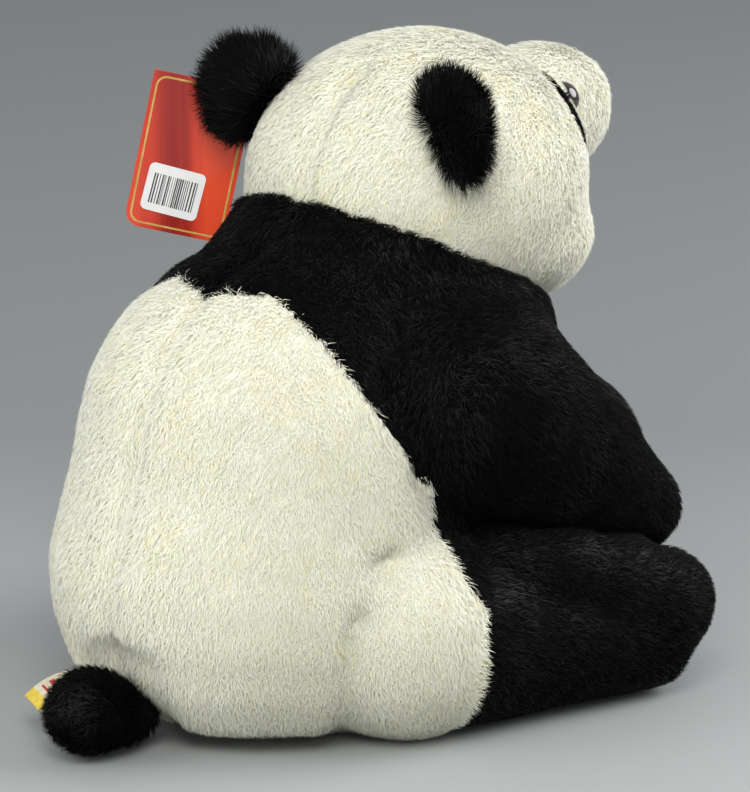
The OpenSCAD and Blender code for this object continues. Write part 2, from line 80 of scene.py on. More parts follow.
def area_light(name, place, target, size, watts, colour=(1, 1, 1)):
    data = bpy.data.lights.new(name, "AREA")
    data.shape = "DISK"
    data.size = size
    data.energy = watts
    data.color = colour
    obj = bpy.data.objects.new(name, data)
    bpy.context.scene.collection.objects.link(obj)
    look_at(obj, place, target)


def make_light():
    centre = (0, -0.04, 0.13)
    area_light("key", (-1.3, 1.3, 1.9), centre, 1.5, 44, (1.0, 0.99, 0.96))
    area_light("fill_back", (0.7, 2.0, 1.0), centre, 1.6, 20, (0.98, 0.99, 1.0))
    area_light("fill_front", (-1.2, -1.7, 1.3), centre, 1.8, 52)
    world = bpy.data.worlds.new("world")
    bpy.context.scene.world = world
    world.use_nodes = True
    background = world.node_tree.nodes["Background"]
    background.inputs["Color"].default_value = (0.86, 0.9, 0.93, 1)
    background.inputs["Strength"].default_value = 0.62
    bpy.context.scene.view_settings.view_transform = "Standard"


# ---------- materials ----------
def shader(name, colour, roughness=0.8, **sockets):
    material = bpy.data.materials.new(name)
    material.use_nodes = True
    principled = material.node_tree.nodes["Principled BSDF"]
    principled.inputs["Base Color"].default_value = (*colour, 1)
    principled.inputs["Roughness"].default_value = roughness
    for socket, value in sockets.items():
        principled.inputs[socket.replace("_", " ")].default_value = value
    return material


def link_noise(material, scale, stops, detail=4, stretch=(1, 1, 1)):
    """Paints the base colour from noise in the object's own coordinates."""
    tree = material.node_tree
    place = tree.nodes.new("ShaderNodeTexCoord")
    spread = tree.nodes.new("ShaderNodeMapping")
    spread.inputs["Scale"].default_value = stretch
    noise = tree.nodes.new("ShaderNodeTexNoise")
    noise.inputs["Scale"].default_value = scale
    noise.inputs["Detail"].default_value = detail
    ramp = tree.nodes.new("ShaderNodeValToRGB")
    while len(ramp.color_ramp.elements) < len(stops):
        ramp.color_ramp.elements.new(0.5)
    for element, (position, colour) in zip(ramp.color_ramp.elements, stops):
        element.position = position
        element.color = (*colour, 1)
    tree.links.new(place.outputs["Object"], spread.inputs["Vector"])
    tree.links.new(spread.outputs["Vector"], noise.inputs["Vector"])
    tree.links.new(noise.outputs["Fac"], ramp.inputs["Fac"])
    tree.links.new(ramp.outputs["Color"], tree.nodes["Principled BSDF"].inputs["Base Color"])


def link_bump(material, scale, depth, texture="ShaderNodeTexNoise"):
    tree = material.node_tree
    place = tree.nodes.new("ShaderNodeTexCoord")
    source = tree.nodes.new(texture)
    source.inputs["Scale"].default_value = scale
    bump = tree.nodes.new("ShaderNodeBump")
    bump.inputs["Distance"].default_value = depth
    tree.links.new(place.outputs["Object"], source.inputs["Vector"])
    tree.links.new(source.outputs[0], bump.inputs["Height"])
    tree.links.new(bump.outputs["Normal"], tree.nodes["Principled BSDF"].inputs["Normal"])


def noisy(name, stops, scale, roughness, bump_scale, bump_depth, **sockets):
    material = shader(name, stops[0][1], roughness, **sockets)
    link_noise(material, scale, stops)
    link_bump(material, bump_scale, bump_depth)
    return material


white_base = noisy("white_pile_base", [(0.35, (0.91, 0.87, 0.68)), (0.65, (0.93, 0.915, 0.79))], 35, 0.95,
                   900, 0.0004)
black_base = noisy("black_pile_base", [(0.4, (0.002, 0.002, 0.002)), (0.7, (0.004, 0.004, 0.004))], 60, 0.9,
                   900, 0.0004, Specular_IOR_Level=0.03)
WHITE_TONES = [shader(f"white_pile_{i}", colour, 0.75, Sheen_Weight=0.25) for i, colour in enumerate(
    [(0.93, 0.92, 0.76), (0.95, 0.945, 0.81), (0.93, 0.915, 0.72), (0.93, 0.89, 0.57)])]
BLACK_TONES = [shader(f"black_pile_{i}", colour, roughness, Specular_IOR_Level=gloss)
               for i, (colour, roughness, gloss) in enumerate(
    [((0.0026, 0.0026, 0.0026), 0.7, 0.05), ((0.004, 0.004, 0.004), 0.65, 0.07),
     ((0.002, 0.002, 0.002), 0.8, 0.03),
     ((0.008, 0.0075, 0.007), 0.45, 0.16)])]
filling = noisy("filling", [(0.3, (0.7, 0.68, 0.63)), (0.7, (0.84, 0.82, 0.78))], 80, 0.95, 500, 0.0015)
pouch_cloth = noisy("pouch_cloth", [(0.3, (0.6, 0.58, 0.52)), (0.7, (0.72, 0.7, 0.64))], 300, 0.9, 1500,
                    0.0004)
pellet_plastic = noisy("pellet_plastic", [(0.3, (0.62, 0.6, 0.52)), (0.7, (0.74, 0.72, 0.64))], 50, 0.4, 200,
                       0.0001)
washer_plastic = noisy("washer_plastic", [(0.3, (0.78, 0.78, 0.76)), (0.7, (0.84, 0.84, 0.82))], 90, 0.45,
                       400, 0.0001)
eye_plastic = noisy("eye_plastic", [(0.4, (0.012, 0.006, 0.004)), (0.7, (0.03, 0.014, 0.008))], 200, 0.06,
                    300, 0.00002, Coat_Weight=0.7)
nose_plastic = noisy("nose_plastic", [(0.4, (0.010, 0.009, 0.009)), (0.7, (0.02, 0.018, 0.018))], 160, 0.3,
                     1400, 0.0004, Coat_Weight=0.2)
thread = noisy("thread", [(0.4, (0.008, 0.008, 0.008)), (0.7, (0.03, 0.028, 0.028))], 900, 0.5, 2200, 0.0006)
nylon = noisy("nylon", [(0.3, (0.75, 0.75, 0.75)), (0.7, (0.85, 0.85, 0.85))], 120, 0.25, 500, 0.00005,
              Transmission_Weight=0.5)
card_red = noisy("card_red", [(0.38, (0.30, 0.012, 0.008)), (0.47, (0.62, 0.045, 0.018)),
                              (0.6, (0.78, 0.075, 0.025))],
                 1.0, 0.32, 2500, 0.00003, Coat_Weight=0.3)
card_gold = noisy("card_gold", [(0.4, (0.55, 0.33, 0.08)), (0.7, (0.68, 0.45, 0.14))], 300, 0.35, 2500,
                  0.00005)
sticker_white = noisy("sticker_white", [(0.4, (0.82, 0.82, 0.81)), (0.7, (0.88, 0.88, 0.87))], 100, 0.55,
                      3000, 0.00003)
sticker_ink = noisy("sticker_ink", [(0.4, (0.03, 0.03, 0.03)), (0.7, (0.06, 0.06, 0.06))], 500, 0.6, 3000,
                    0.00003)
ribbon = noisy("ribbon", [(0.35, (0.62, 0.55, 0.38)), (0.65, (0.76, 0.7, 0.52))], 400, 0.6, 2600, 0.0005)
ribbon_edge = noisy("ribbon_edge", [(0.35, (0.68, 0.48, 0.04)), (0.65, (0.8, 0.6, 0.08))], 400, 0.6, 2600,
                    0.0005)
ribbon_red = noisy("ribbon_red", [(0.35, (0.4, 0.02, 0.02)), (0.65, (0.52, 0.03, 0.03))], 400, 0.6, 2600,
                   0.0005)


def bands(material, turn, per_metre):
    """Turns a material's noise into soft bands along the direction at this turn about Z."""
    mapping = next(n for n in material.node_tree.nodes if n.type == "MAPPING")
    mapping.inputs["Rotation"].default_value = (0, 0, turn)
    mapping.inputs["Scale"].default_value = (per_metre, 0.5, 0.5)


def painted_light_falloff(material, turn, near, far):
    """Paints a light falloff into the floor's base colour along one direction: lighter near the front,
    painted shade further away.
    """
    tree = material.node_tree
    place, mapping = tree.nodes.new("ShaderNodeTexCoord"), tree.nodes.new("ShaderNodeMapping")
    mapping.inputs["Rotation"].default_value = (0, 0, turn)
    mapping.inputs["Scale"].default_value = (0.667, 0.667, 1)
    mapping.inputs["Location"].default_value = (0.87, 0, 0)
    gradient, ramp = tree.nodes.new("ShaderNodeTexGradient"), tree.nodes.new("ShaderNodeValToRGB")
    ramp.color_ramp.elements[0].position, ramp.color_ramp.elements[0].color = 0.55, (*far, 1)
    ramp.color_ramp.elements[1].position, ramp.color_ramp.elements[1].color = 1.0, (*near, 1)
    tree.links.new(place.outputs["Object"], mapping.inputs["Vector"])
    tree.links.new(mapping.outputs["Vector"], gradient.inputs["Vector"])
    tree.links.new(gradient.outputs["Fac"], ramp.inputs["Fac"])
    tree.links.new(ramp.outputs["Color"], tree.nodes["Principled BSDF"].inputs["Base Color"])


# ---------- mesh helpers ----------
def new_object(name, mesh):
    obj = bpy.data.objects.new(name, mesh)
    bpy.context.scene.collection.objects.link(obj)
    return obj


def evaluated_mesh(obj):
    bpy.context.view_layer.update()
    graph = bpy.context.evaluated_depsgraph_get()
    return bpy.data.meshes.new_from_object(obj.evaluated_get(graph))


def get_co(mesh):
    co = np.empty(len(mesh.vertices) * 3)
    mesh.vertices.foreach_get("co", co)
    return co.reshape(-1, 3)


def set_co(mesh, co):
    mesh.vertices.foreach_set("co", np.ascontiguousarray(co, dtype=np.float32).ravel())
    mesh.update()


def get_normals(mesh):
    normals = np.empty(len(mesh.vertices) * 3, dtype=np.float32)
    mesh.vertex_normals.foreach_get("vector", normals)
    return normals.reshape(-1, 3).astype(float)


def unit(v):
    return v / np.maximum(np.linalg.norm(v, axis=-1, keepdims=True), 1e-9)


def keep_largest_shell(mesh):
    """Drops the inner surfaces that a remesh leaves round hollows."""
    bm = bmesh.new()
    bm.from_mesh(mesh)
    left, shells = set(bm.verts), []
    while left:
        shell, edge = set(), [left.pop()]
        while edge:
            v = edge.pop()
            shell.add(v)
            for e in v.link_edges:
                w = e.other_vert(v)
                if w in left:
                    left.discard(w)
                    edge.append(w)
        shells.append(shell)
    outer = max(shells, key=len)
    bmesh.ops.delete(bm, geom=[v for v in bm.verts if v not in outer], context="VERTS")
    bm.to_mesh(mesh)
    bm.free()


def add_egg(bm, centre, radii, pitch=0.0, below=None, segments=40):
    """An ellipsoid, turned about X, and cut to what lies below a plane (point, normal) if one is given."""
    place = Matrix.Translation(Vector(centre)) @ Matrix.Rotation(pitch, 4, "X") @ Matrix.Diagonal((*radii, 1))
    made = bmesh.ops.create_uvsphere(bm, u_segments=segments, v_segments=segments // 2, radius=1,
                                     matrix=place)
    if below is not None:
        point, normal = below
        geom = made["verts"] + list({f for v in made["verts"] for f in v.link_faces}
                                    | {e for v in made["verts"] for e in v.link_edges})
        cut = bmesh.ops.bisect_plane(bm, geom=geom, plane_co=point, plane_no=normal, clear_outer=True)
        bmesh.ops.holes_fill(bm, edges=[g for g in cut["geom_cut"] if isinstance(g, bmesh.types.BMEdge)])


def tree_of(names):
    """A search tree over several CAD nodes' surfaces."""
    points, faces = [], []
    for name in names:
        mesh, start = nodes[name].data, len(points)
        points += [v.co.copy() for v in mesh.vertices]
        faces += [[start + i for i in p.vertices] for p in mesh.polygons]
    return BVHTree.FromPolygons(points, faces)


def distances(tree, points):
    return np.array([tree.find_nearest(Vector(p))[3] for p in points])


def soft_noise(points, rng, size, waves=14):
    """Smooth seeded noise between about -1 and 1, from waves in random directions."""
    total = np.zeros(len(points))
    for direction, phase in zip(unit(rng.normal(size=(waves, 3))), rng.uniform(0, 2 * math.pi, waves)):
        total += np.sin(points @ direction * (2 * math.pi / size) * rng.uniform(0.6, 1.4) + phase)
    return total / math.sqrt(waves) / 1.4


def make_skin(name, body, stands_for, eggs=(), voxel=4 * MM, smooth=8, inset=2 * MM, lumps=0.6 * MM,
              seam=None):
    """A padded skin that stands for soft CAD solids: their union, remeshed, relaxed, drawn in by the pile."""
    bm = bmesh.new()
    for node in stands_for:
        bm.from_mesh(nodes[node].data)
    for egg in eggs:
        add_egg(bm, *egg)
    mesh = bpy.data.meshes.new(name)
    bm.to_mesh(mesh)
    bm.free()
    draft = new_object(name + "_draft", mesh)
    remesh = draft.modifiers.new("remesh", "REMESH")
    remesh.mode = "VOXEL"
    remesh.voxel_size = voxel
    relax = draft.modifiers.new("relax", "SMOOTH")
    relax.factor = 0.5
    relax.iterations = smooth
    skin_mesh = evaluated_mesh(draft)
    bpy.data.objects.remove(draft)
    keep_largest_shell(skin_mesh)
    co, normals = get_co(skin_mesh), get_normals(skin_mesh)
    rng = np.random.default_rng(len(name) * 101)
    depth = inset + lumps * soft_noise(co, rng, 0.05)
    if seam is not None:
        depth = depth + seam(co)
    co = co - normals * depth[:, None]
    co[:, 2] = np.maximum(co[:, 2], 1 * MM)
    set_co(skin_mesh, co)
    skin_mesh.polygons.foreach_set("use_smooth", [True] * len(skin_mesh.polygons))
    skin = new_object(name, skin_mesh)
    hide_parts(*stands_for)
    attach(skin, body)
    return skin


# ---------- pile ----------
STRAND_LIMIT = 19000     # strands in one piece
ROUND = 3
TONE_STEPS = (0.34, 0.66, 0.86)     # shares of the strands below each tone's end
NORMAL_SPREAD = 0.06     # how far a strand's shading strays from the skin's


def sample_surface(mesh, count, rng):
    """Points spread evenly over a mesh, with their normals."""
    mesh.calc_loop_triangles()
    corners = np.empty(len(mesh.loop_triangles) * 3, dtype=np.int32)
    mesh.loop_triangles.foreach_get("vertices", corners)
    corners = corners.reshape(-1, 3)
    co, normals = get_co(mesh), get_normals(mesh)
    a, b, c = (co[corners[:, i]] for i in range(3))
    area = np.linalg.norm(np.cross(b - a, c - a), axis=1)
    chosen = rng.choice(len(corners), size=count, p=area / area.sum())
    u, v = np.sqrt(rng.random(count)), rng.random(count)
    weights = np.stack([1 - u, u * (1 - v), u * v], 1)
    picked = corners[chosen]
    points = (co[picked] * weights[:, :, None]).sum(1)
    outward = unit((normals[picked] * weights[:, :, None]).sum(1))
    return points, outward


def strand_mesh(name, roots, outward, flow, length, radius, lay, rng, tones):
    """One mesh of bent, tapered, closed strands that lean along the flow."""
    n = len(roots)
    swirl = np.stack([soft_noise(roots, rng, 0.014) for _ in range(3)], 1)
    along = unit(flow) + 0.3 * rng.normal(size=(n, 3)) + 0.45 * swirl
    along = unit(along - (along * outward).sum(1, keepdims=True) * outward)
    reach = length * (rng.uniform(0.7, 1.15, n) + 0.12 * soft_noise(roots, rng, 0.02))[:, None]
    first, second = np.radians(lay[0]), np.radians(lay[1])
    base = roots - outward * (0.8 * MM)
    knee = base + 0.5 * reach * (outward * math.cos(first) + along * math.sin(first))
    tip = knee + 0.5 * reach * (outward * math.cos(second) + along * math.sin(second))
    side = unit(np.cross(outward, along))
    front = unit(np.cross(knee - base, side))
    r = radius * rng.uniform(0.75, 1.2, n)[:, None]
    rings = []
    for centre, thickness in ((base, 1.0), (knee, 0.8)):
        for k in range(ROUND):
            turn = 2 * math.pi * k / ROUND
            rings.append(centre + r * thickness * (math.cos(turn) * side + math.sin(turn) * front))
    points = np.stack([*rings, tip], 1)
    points[:, :, 2] = np.maximum(points[:, :, 2], 0.3 * MM)
    pattern = [[2, 1, 0]]
    for k in range(ROUND):
        m = (k + 1) % ROUND
        pattern += [[k, m, ROUND + m], [k, ROUND + m, ROUND + k], [ROUND + k, ROUND + m, 2 * ROUND]]
    pattern = np.array(pattern)
    faces = (pattern[None] + (2 * ROUND + 1) * np.arange(n)[:, None, None]).reshape(-1)
    mesh = bpy.data.meshes.new(name)
    mesh.vertices.add(points.shape[0] * points.shape[1])
    mesh.vertices.foreach_set("co", points.astype(np.float32).ravel())
    mesh.loops.add(len(faces))
    mesh.loops.foreach_set("vertex_index", faces.astype(np.int32))
    mesh.polygons.add(len(faces) // 3)
    mesh.polygons.foreach_set("loop_start", np.arange(0, len(faces), 3, dtype=np.int32))
    mesh.polygons.foreach_set("use_smooth", np.ones(len(faces) // 3, dtype=bool))
    for tone in tones:
        mesh.materials.append(tone)
    patchy = soft_noise(roots, rng, 0.035) + 0.6 * rng.normal(size=n)
    tone = np.searchsorted(TONE_STEPS, np.argsort(np.argsort(patchy)) / n, side="right")
    mesh.polygons.foreach_set("material_index", np.repeat(tone, len(pattern)).astype(np.int32))
    mesh.update(calc_edges=True)
    soft = unit(np.repeat(outward, points.shape[1],
                          axis=0) + NORMAL_SPREAD * rng.normal(size=(n * points.shape[1], 3)))
    mesh.normals_split_custom_set_from_vertices(soft.tolist())
    return mesh


def grow_pile(name, skin, body, tones, per_mm2, length, flow, radius=0.19 * MM, lay=(42, 75),
              keep=None):
    """Grows pile on a skin, as pieces of at most STRAND_LIMIT strands."""
    rng = np.random.default_rng(sum(map(ord, name)))
    area = sum(p.area for p in skin.data.polygons)
    count = int(area * 1e6 * per_mm2 * (1))
    roots, outward = sample_surface(skin.data, count, rng)
    if keep is not None:
        kept = keep(roots, outward)
        roots, outward = roots[kept], outward[kept]
    for i, start in enumerate(range(0, len(roots), STRAND_LIMIT)):
        part = slice(start, start + STRAND_LIMIT)
        mesh = strand_mesh(f"{name}_{i}", roots[part], outward[part], flow(roots[part]), length, radius, lay,
                           rng, tones)
        pile = new_object(f"{name}_{i}", mesh)
        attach(pile, body)


def two_tone(skin, white_nodes, black_nodes, bias=lambda points: 0.0):
    """Colours each face of a skin like the nearer CAD panels, and returns the test for the black ones."""
    white_tree, black_tree = tree_of(white_nodes), tree_of(black_nodes)

    def is_black(points):
        return distances(black_tree, points) - bias(points) < distances(white_tree, points)

    skin.data.materials.append(white_base)
    skin.data.materials.append(black_base)
    centres = np.array([p.center for p in skin.data.polygons])
    skin.data.polygons.foreach_set("material_index", is_black(centres).astype(np.int32))
    return is_black


def inside(tree, point):
    """Whether a point is within a closed skin: a ray from it leaves through an odd number of faces."""
    way, at, hits = Vector((0.31, 0.17, 0.94)).normalized(), Vector(point), 0
    while hits < 40:
        found, _, _, _ = tree.ray_cast(at, way)
        if found is None:
            break
        hits += 1
        at = found + way * 1e-6
    return hits % 2 == 1


def outside(*skins, margin=1.5 * MM):
    """A test that keeps points which aren't buried in other skins, or nearer than a negative margin."""
    trees = [BVHTree.FromObject(s, bpy.context.evaluated_depsgraph_get()) for s in skins]

    def test(points):
        kept = np.ones(len(points), bool)
        for tree in trees:
            for i in np.nonzero(kept)[0]:
                far = tree.find_nearest(Vector(points[i]))[3]
                if inside(tree, points[i]):
                    kept[i] = far < margin
                else:
                    kept[i] = far > -margin
        return kept

    return test


# ---------- skins ----------
TORSO_WHITE = ["back_panel_left", "back_panel_right", "belly_panel", "base_panel"]
TORSO_BLACK = ["yoke_left", "yoke_right"]
shoulder = {s: joint_at[f"arm_lift_{s}"] for s in SIDES}
hip = {s: joint_at[f"leg_splay_{s}"] for s in SIDES}
head_at = joint_at["head_nod"]


def back_seam(co):
    """The centre-back seam draws the skin in along a narrow valley."""
    behind = co[:, 1] > -0.06
    return np.where(behind, 4.5 * MM * np.exp(-(co[:, 0] / (5 * MM)) ** 2), 0)


HEAD_PITCH = math.radians(-22)
HEAD_RADII = np.array([0.080, 0.074, 0.067])
COLLAR_PLANE = ((0, -0.014, 0.227), (0, -0.489, 0.872))


def yoke_bias(points):
    """The yoke hangs lower at the spine than its panels, and lies over the collar and shoulders."""
    high = np.clip((points[:, 2] - 0.165) / 0.02, 0, 1)
    return 2 * MM + 5 * MM * np.exp(-(points[:, 0] / 0.05) ** 2) + 40 * MM * high * (points[:, 1] < 0.02)


HIP_EDGE = 133.5 * MM          # out and forward to the black edge on the hip, low down
HIP_EDGE_SLOPE = 0.97          # how fast the edge draws back; higher up, the black it adds is painted shade
HIP_EDGE_FROM, HIP_EDGE_TO = 59.5 * MM, 96 * MM
# The top height on the next line bounds black under the arm that is painted shade: the white side panel there
# lies in shadow between arm and leg.
HIP_INNER, PAINTED_SHADE_TOP = 45 * MM, 130 * MM
SURE = 200 * MM                # more than any distance between panels


def thigh_black_and_painted_shade(points):
    """The leg's black laps back over the front of the hip. Higher up, under the arm, the black is painted
    shade over the white side panel, which lies in shadow between arm and leg.
    """
    across, height = np.abs(points[:, 0]), points[:, 2]
    rise = np.clip(height - HIP_EDGE_FROM, 0, HIP_EDGE_TO - HIP_EDGE_FROM)
    in_front = across - points[:, 1] > HIP_EDGE - HIP_EDGE_SLOPE * rise
    black = (across > HIP_INNER) & in_front & (height < PAINTED_SHADE_TOP)
    return SURE * black


def torso_eggs():
    """What fills the sewn roots: a collar that cups the head, shoulders, hips and the flat seat."""
    eggs = [((0, -0.062, 0.162), (0.090, 0.072, 0.058)), ((0, 0, 0.012), (0.055, 0.055, 0.011)),
            (head_at, HEAD_RADII + 5 * MM, HEAD_PITCH, COLLAR_PLANE), ((0, 0.042, 0.040),
                                                                       (0.056, 0.048, 0.036))]
    for s, side in SIDES.items():
        eggs.append((shoulder[s], [0.041] * 3))
        eggs.append((shoulder[s] + np.array([-side * 0.016, 0, 0]), [0.053] * 3))
        eggs.append((hip[s], [0.040] * 3))
        eggs.append((hip[s] + np.array([-side * 0.008, 0.012, 0.003]), [0.050] * 3))
    return eggs


def downward(points):
    return np.tile([0.0, 0.0, -1.0], (len(points), 1))


def towards(direction):
    return lambda points: np.tile(unit(np.array(direction, float)), (len(points), 1))


torso = make_skin("torso_skin", "torso", TORSO_WHITE + TORSO_BLACK + ["torso_stuffing"], torso_eggs(),
                  seam=back_seam)
# The torso's black covers the yoke and the front of the hip. Under the arm it is painted shade on the white
# side.
torso_black_and_painted_shade = two_tone(torso, TORSO_WHITE, TORSO_BLACK, bias=lambda p: yoke_bias(p) + thigh_black_and_painted_shade(p))

HEAD_PANELS = ["head_side_left", "head_side_right", "face_panel", "muzzle"]
PATCHES = ["eye_patch_left", "eye_patch_right"]
cheeks = [(head_at + np.array([-side * 0.030, -0.015, -0.019]),
           (0.047, 0.047, 0.035)) for side in SIDES.values()]
bridge = (head_at + np.array([0, -0.078, 0.027]), (0.030, 0.036, 0.026))
head = make_skin("head_skin", "head", HEAD_PANELS + ["head_stuffing"] + PATCHES, [*cheeks, bridge],
                 seam=back_seam,
                 smooth=6)
patch_tree = tree_of(PATCHES)


def on_patch(points):
    return distances(patch_tree, points) < 2 * MM


head.data.materials.append(white_base)
head.data.materials.append(black_base)
head_faces = np.array([p.center for p in head.data.polygons])
head.data.polygons.foreach_set("material_index", on_patch(head_faces).astype(np.int32))

arms, legs, ears = {}, {}, {}
for s in SIDES:
    arms[s] = make_skin(f"arm_skin_{s}", f"arm_{s}",
                        [f"arm_outer_{s}", f"arm_inner_{s}", f"arm_stuffing_{s}"])
    arms[s].data.materials.append(black_base)
    leg_black = [f"leg_outer_{s}", f"leg_inner_{s}", f"foot_sole_{s}"]
    lap = [(hip[s] + np.array([SIDES[s] * 0.30 * along, -along, top - 0.028 - hip[s][2]]),
            (0.026, 0.034, 0.028))
           for along, top in ((0.030, 0.095), (0.055, 0.092), (0.080, 0.081), (0.105, 0.068))]
    legs[s] = make_skin(f"leg_skin_{s}", f"leg_{s}", [f"thigh_panel_{s}", *leg_black, f"leg_stuffing_{s}"],
                        lap)
    legs[s]["black_nodes"] = leg_black
    ears[s] = make_skin(f"ear_skin_{s}", f"ear_{s}", [f"ear_back_{s}", f"ear_front_{s}"],
                        voxel=2.5 * MM, smooth=4, inset=1 * MM, lumps=0.3 * MM)
    ears[s].data.materials.append(black_base)
tail = make_skin("tail_skin", "tail", ["tail_top", "tail_under", "tail_stuffing"], voxel=3 * MM,
                 inset=4.5 * MM)
tail.data.materials.append(black_base)


# ---------- pile on each skin ----------
def face_flow(points):
    """The head's pile runs back and down from the muzzle."""
    away = unit(points - (head_at + np.array([0, -0.10, 0.03])))
    return away + np.array([0, 0, -0.6])


face_trees = [tree_of([n]) for n in ("eye_left", "eye_right", "nose", "mouth_stitch")]
FACE_CLEAR = (1.2 * MM, 1.2 * MM, 1.2 * MM, 1.0 * MM)


def clear_of_face(points):
    kept = np.ones(len(points), bool)
    for tree, clear in zip(face_trees, FACE_CLEAR):
        kept &= distances(tree, points) > clear
    return kept


DENSE = 1.8
out_of_limbs = outside(head, *arms.values(), *legs.values(), tail, margin=-0.3 * MM)
out_of_torso = outside(torso)
out_of_head = outside(head)


def torso_keep(black):
    return lambda p, n: (torso_black_and_painted_shade(p) == black) & out_of_limbs(p)


grow_pile("torso_pile_white", torso, "torso", WHITE_TONES, DENSE, 5.8 * MM, downward,
          keep=torso_keep(False))
# This black pile also grows on the painted shade under the arm.
grow_pile("torso_pile_black", torso, "torso", BLACK_TONES, DENSE, 6 * MM, downward,
          keep=torso_keep(True))
grow_pile("head_pile_white", head, "head", WHITE_TONES, DENSE, 6 * MM, face_flow,
          keep=lambda p, n: ~on_patch(p) & clear_of_face(p) & out_of_torso(p))
grow_pile("head_pile_black", head, "head", BLACK_TONES, 1.6, 4.5 * MM, face_flow,
          keep=lambda p, n: on_patch(p) & clear_of_face(p))
for s, side in SIDES.items():
    arm_way = unit(middle(f"arm_outer_{s}") - shoulder[s])
    grow_pile(f"arm_pile_{s}", arms[s], f"arm_{s}", BLACK_TONES, DENSE, 6 * MM,
              towards(arm_way + np.array([0, 0, -0.5])), keep=lambda p, n: out_of_torso(p))
    leg_nodes = list(legs[s]["black_nodes"])
    del legs[s]["black_nodes"]
    # The leg's black includes the same painted shade under the arm as the torso's.
    leg_black = two_tone(legs[s], [f"thigh_panel_{s}"], leg_nodes, bias=thigh_black_and_painted_shade)
    leg_way = towards([0, -1, -0.6])
    for colour, slot, tones, dark in (("white", "white_plush", WHITE_TONES, False),
                                      ("black", "black_plush", BLACK_TONES, True)):
        grow_pile(f"leg_pile_{colour}_{s}", legs[s], f"leg_{s}", tones, DENSE, 5.5 * MM, leg_way,
                  keep=lambda p, n: (leg_black(p) == dark) & out_of_torso(p))
    root = joint_at[f"ear_fold_{s}"]
    grow_pile(f"ear_pile_{s}", ears[s], f"ear_{s}", BLACK_TONES, 3.2, 11 * MM,
              lambda p: unit(p - root), lay=(32, 62), radius=0.2 * MM, keep=lambda p, n: out_of_head(p))
tail_root = joint_at["tail_wag"]
grow_pile("tail_pile", tail, "tail", BLACK_TONES, 2.2, 8 * MM,
          lambda p: unit(p - tail_root) + np.array([0, 0.2, -0.3]), lay=(35, 65), radius=0.22 * MM)


# ---------- hang tag, sticker, label ----------
TAG_TURN, TAG_TILT = math.radians(45), math.radians(12)


def tag_frame():
    """The card's own axes: across, up along the card, and out of its front."""
    front = Vector((-math.sin(TAG_TURN), math.cos(TAG_TURN), 0))
    level = Vector((-math.cos(TAG_TURN), -math.sin(TAG_TURN), 0))
    across = (Matrix.Rotation(TAG_TILT, 3, -front) @ level).normalized()
    up = front.cross(across)
    centre = Vector(middle("hang_tag"))
    return Matrix.Translation(centre) @ Matrix((across, up, front)).transposed().to_4x4()


def rounded_outline(width, height, radius, steps=8, square_top=False):
    """Points round a rectangle with arcs at its corners, in order, from the lower right."""
    points = []
    for k, (sx, sy) in enumerate([(1, -1), (1, 1), (-1, 1), (-1, -1)]):
        r = 0.3 * MM if square_top and sy > 0 else radius
        for j in range(steps + 1):
            turn = math.radians(-90 + 90 * k + 90 * j / steps)
            points.append((sx * (width / 2 - r) + r * math.cos(turn),
                           sy * (height / 2 - r) + r * math.sin(turn)))
    return points


def plate(bm, outline, low, high, matrix, material=0, hole=None):
    """A flat plate between two heights, or a frame between two outlines of the same length."""
    n = len(outline)
    rings = [[bm.verts.new(matrix @ Vector((x, y, z))) for x, y in points]
             for points in (outline, hole or []) for z in (low, high) if points]
    faces = []
    for j in range(n):
        m = (j + 1) % n
        faces.append([rings[0][j], rings[0][m], rings[1][m], rings[1][j]])
        if hole:
            faces.append([rings[2][m], rings[2][j], rings[3][j], rings[3][m]])
            faces.append([rings[1][j], rings[1][m], rings[3][m], rings[3][j]])
            faces.append([rings[0][m], rings[0][j], rings[2][j], rings[2][m]])
    if not hole:
        faces += [list(reversed(rings[0])), rings[1]]
    for face in faces:
        bm.faces.new(face).material_index = material


def finish_plate(bm, name, materials, body, slot, *stands_for):
    bmesh.ops.recalc_face_normals(bm, faces=bm.faces)
    mesh = bpy.data.meshes.new(name)
    bm.to_mesh(mesh)
    bm.free()
    for material in materials:
        mesh.materials.append(material)
    obj = new_object(name, mesh)
    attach(obj, body)
    if stands_for:
        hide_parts(*stands_for)
    return obj


TAG_W, TAG_L, CARD_T, CARD_GAP = 46 * MM, 72 * MM, 0.6 * MM, 0.5 * MM
GOLD_IN, GOLD_W = 1.8 * MM, 0.9 * MM
STICKER_W, STICKER_L = 26 * MM, 22 * MM


